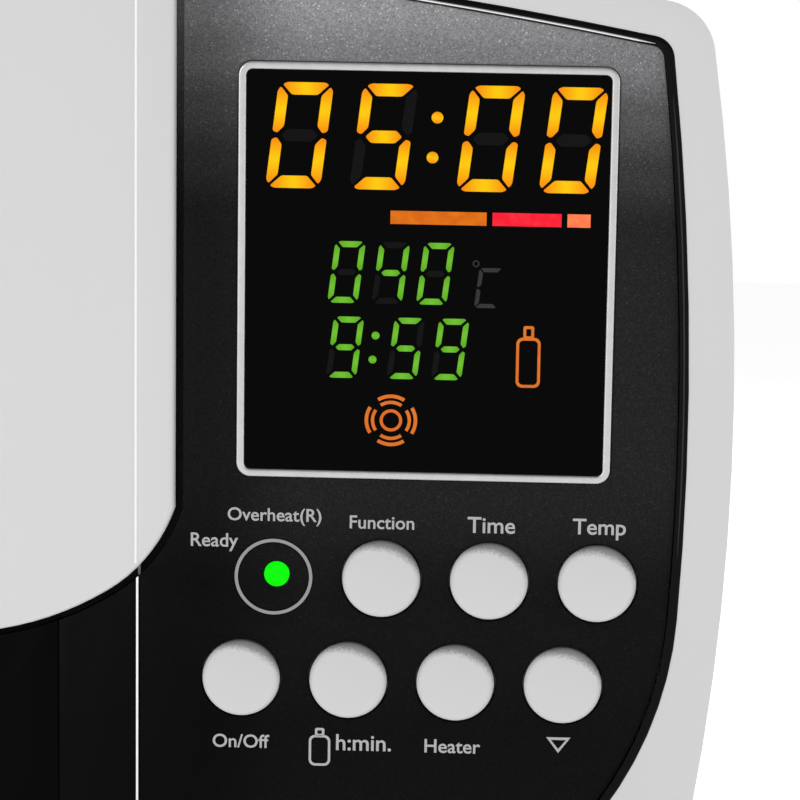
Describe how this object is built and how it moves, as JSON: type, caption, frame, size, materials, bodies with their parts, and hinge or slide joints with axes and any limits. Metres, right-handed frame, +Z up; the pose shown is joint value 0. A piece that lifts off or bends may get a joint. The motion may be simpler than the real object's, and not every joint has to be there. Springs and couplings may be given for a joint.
{
  "type": "sous vide circulator",
  "caption": "Countertop sous vide water bath with a circulating impeller, hinged lid with window, stainless tank and basket, sloping console with display and round keys.",
  "frame": {"origin": "on the surface it stands on, under the middle of its bounding box", "axes": "+Z up, front towards -Y, +X to the right seen from the front, so the console is on the +X side"},
  "size_m": [0.3999, 0.3527, 0.2662],
  "materials": {
    "white_casing": "satin moulded ABS",
    "white_shield": "satin moulded ABS",
    "white_lid": "satin moulded ABS",
    "key_plastic": "fine matt",
    "dark_fascia": "charcoal metallic flake under clear",
    "dark_center": "black, glossy",
    "dark_insert": "black, glossy",
    "black_gasket": "black, glossy",
    "silver_trim": "satin silver",
    "black_lens": "polished",
    "black_module": "matt",
    "green_led": "diffused",
    "circuit_board": "solder mask",
    "zinc_plate": "zinc plated",
    "dark_components": "matt",
    "stainless": "brushed",
    "stainless_wire": "polished",
    "grey_silicone": "matt",
    "black_rubber": "matt",
    "white_nylon": "matt",
    "orange_silicone": "matt",
    "brass_valve": "nickelled brass",
    "red_lever": "enamel",
    "smoked_window": "smoked, polished",
    "grey_lead": "matt",
    "black_lead": "matt"
  },
  "bodies": {
    "housing": {"casing": "white_casing", "front_shield": "white_shield", "left_fascia": "dark_fascia", "control_fascia": "dark_fascia", "center_fascia": "dark_center", "front_grille": "dark_insert", "fascia_gasket": "black_gasket", "crease_trims": "silver_trim", "display_bezel": "silver_trim", "display_lens": "black_lens", "display_module": "black_module", "status_led_ring": "silver_trim", "status_led": "green_led", "control_board": "circuit_board", "power_board": "circuit_board", "board_standoffs": "zinc_plate", "screws": "zinc_plate", "tact_switches": "black_module", "power_components": "dark_components", "tank": "stainless", "impeller_guard": "stainless", "basket": "stainless", "basket_ears": "stainless", "tank_gasket": "grey_silicone", "shaft_seal": "black_rubber", "circulation_motor": "zinc_plate", "heater_pads": "orange_silicone", "thermal_cutout": "dark_components", "temperature_probe": "stainless_wire", "drain_pipe": "stainless_wire", "drain_valve": "brass_valve", "fan_frame": "black_module", "fan_guard": "white_casing", "power_inlet": "black_module", "hinge_brackets": "white_casing", "hinge_pins": "stainless_wire", "base_plate": "zinc_plate", "tank_supports": "zinc_plate", "foot_front_left": "black_rubber", "foot_front_right": "black_rubber", "foot_back_left": "black_rubber", "foot_back_right": "black_rubber", "signal_cable": "grey_lead", "mains_cable": "black_lead"},
    "lid": {"lid": "white_lid", "lid_window": "smoked_window", "lid_handle": "white_lid", "lid_seal": "grey_silicone"},
    "basket_handle_left": {"basket_handle_left": "stainless_wire"},
    "basket_handle_right": {"basket_handle_right": "stainless_wire"},
    "drain_lever": {"drain_lever": "red_lever"},
    "impeller": {"impeller": "white_nylon"},
    "fan_rotor": {"fan_rotor": "black_module"},
    "key_function": {"key_function": "key_plastic"},
    "key_time": {"key_time": "key_plastic"},
    "key_temp": {"key_temp": "key_plastic"},
    "key_on_off": {"key_on_off": "key_plastic"},
    "key_bottle_time": {"key_bottle_time": "key_plastic"},
    "key_heater": {"key_heater": "key_plastic"},
    "key_down": {"key_down": "key_plastic"}
  },
  "joints": [
    {"name": "lid_hinge", "type": "hinge", "parent": "housing", "child": "lid", "pos_m": [0, 0.11342, 0.22511], "axis": [-1, 0, 0], "range_deg": [0, 95]},
    {"name": "basket_handle_left_hinge", "type": "hinge", "parent": "housing", "child": "basket_handle_left", "pos_m": [-0.1293, -0.01358, 0.166], "axis": [0, -1, 0], "range_deg": [0, 90]},
    {"name": "basket_handle_right_hinge", "type": "hinge", "parent": "housing", "child": "basket_handle_right", "pos_m": [0.1293, -0.01358, 0.166], "axis": [0, 1, 0], "range_deg": [0, 90]},
    {"name": "drain_lever_turn", "type": "hinge", "parent": "housing", "child": "drain_lever", "pos_m": [-0.105, 0.14641, 0.054], "axis": [0, 0, 1], "range_deg": [0, 90]},
    {"name": "impeller_spin", "type": "hinge", "parent": "housing", "child": "impeller", "pos_m": [0.08, -0.01358, 0.052], "axis": [0, 0, 1], "continuous": true},
    {"name": "fan_spin", "type": "hinge", "parent": "housing", "child": "fan_rotor", "pos_m": [0.118, 0.12441, 0.062], "axis": [0, 1, 0], "continuous": true},
    {"name": "key_function_press", "type": "slide", "parent": "housing", "child": "key_function", "axis": [-0.0872, 0.9865, 0.1386], "range_m": [0, 0.0008], "stiffness_N_per_m": 500},
    {"name": "key_time_press", "type": "slide", "parent": "housing", "child": "key_time", "axis": [-0.0872, 0.9865, 0.1386], "range_m": [0, 0.0008], "stiffness_N_per_m": 500},
    {"name": "key_temp_press", "type": "slide", "parent": "housing", "child": "key_temp", "axis": [-0.0872, 0.9865, 0.1386], "range_m": [0, 0.0008], "stiffness_N_per_m": 500},
    {"name": "key_on_off_press", "type": "slide", "parent": "housing", "child": "key_on_off", "axis": [-0.0872, 0.9865, 0.1386], "range_m": [0, 0.0008], "stiffness_N_per_m": 500},
    {"name": "key_bottle_time_press", "type": "slide", "parent": "housing", "child": "key_bottle_time", "axis": [-0.0872, 0.9865, 0.1386], "range_m": [0, 0.0008], "stiffness_N_per_m": 500},
    {"name": "key_heater_press", "type": "slide", "parent": "housing", "child": "key_heater", "axis": [-0.0872, 0.9865, 0.1386], "range_m": [0, 0.0008], "stiffness_N_per_m": 500},
    {"name": "key_down_press", "type": "slide", "parent": "housing", "child": "key_down", "axis": [-0.0872, 0.9865, 0.1386], "range_m": [0, 0.0008], "stiffness_N_per_m": 500}
  ]
}
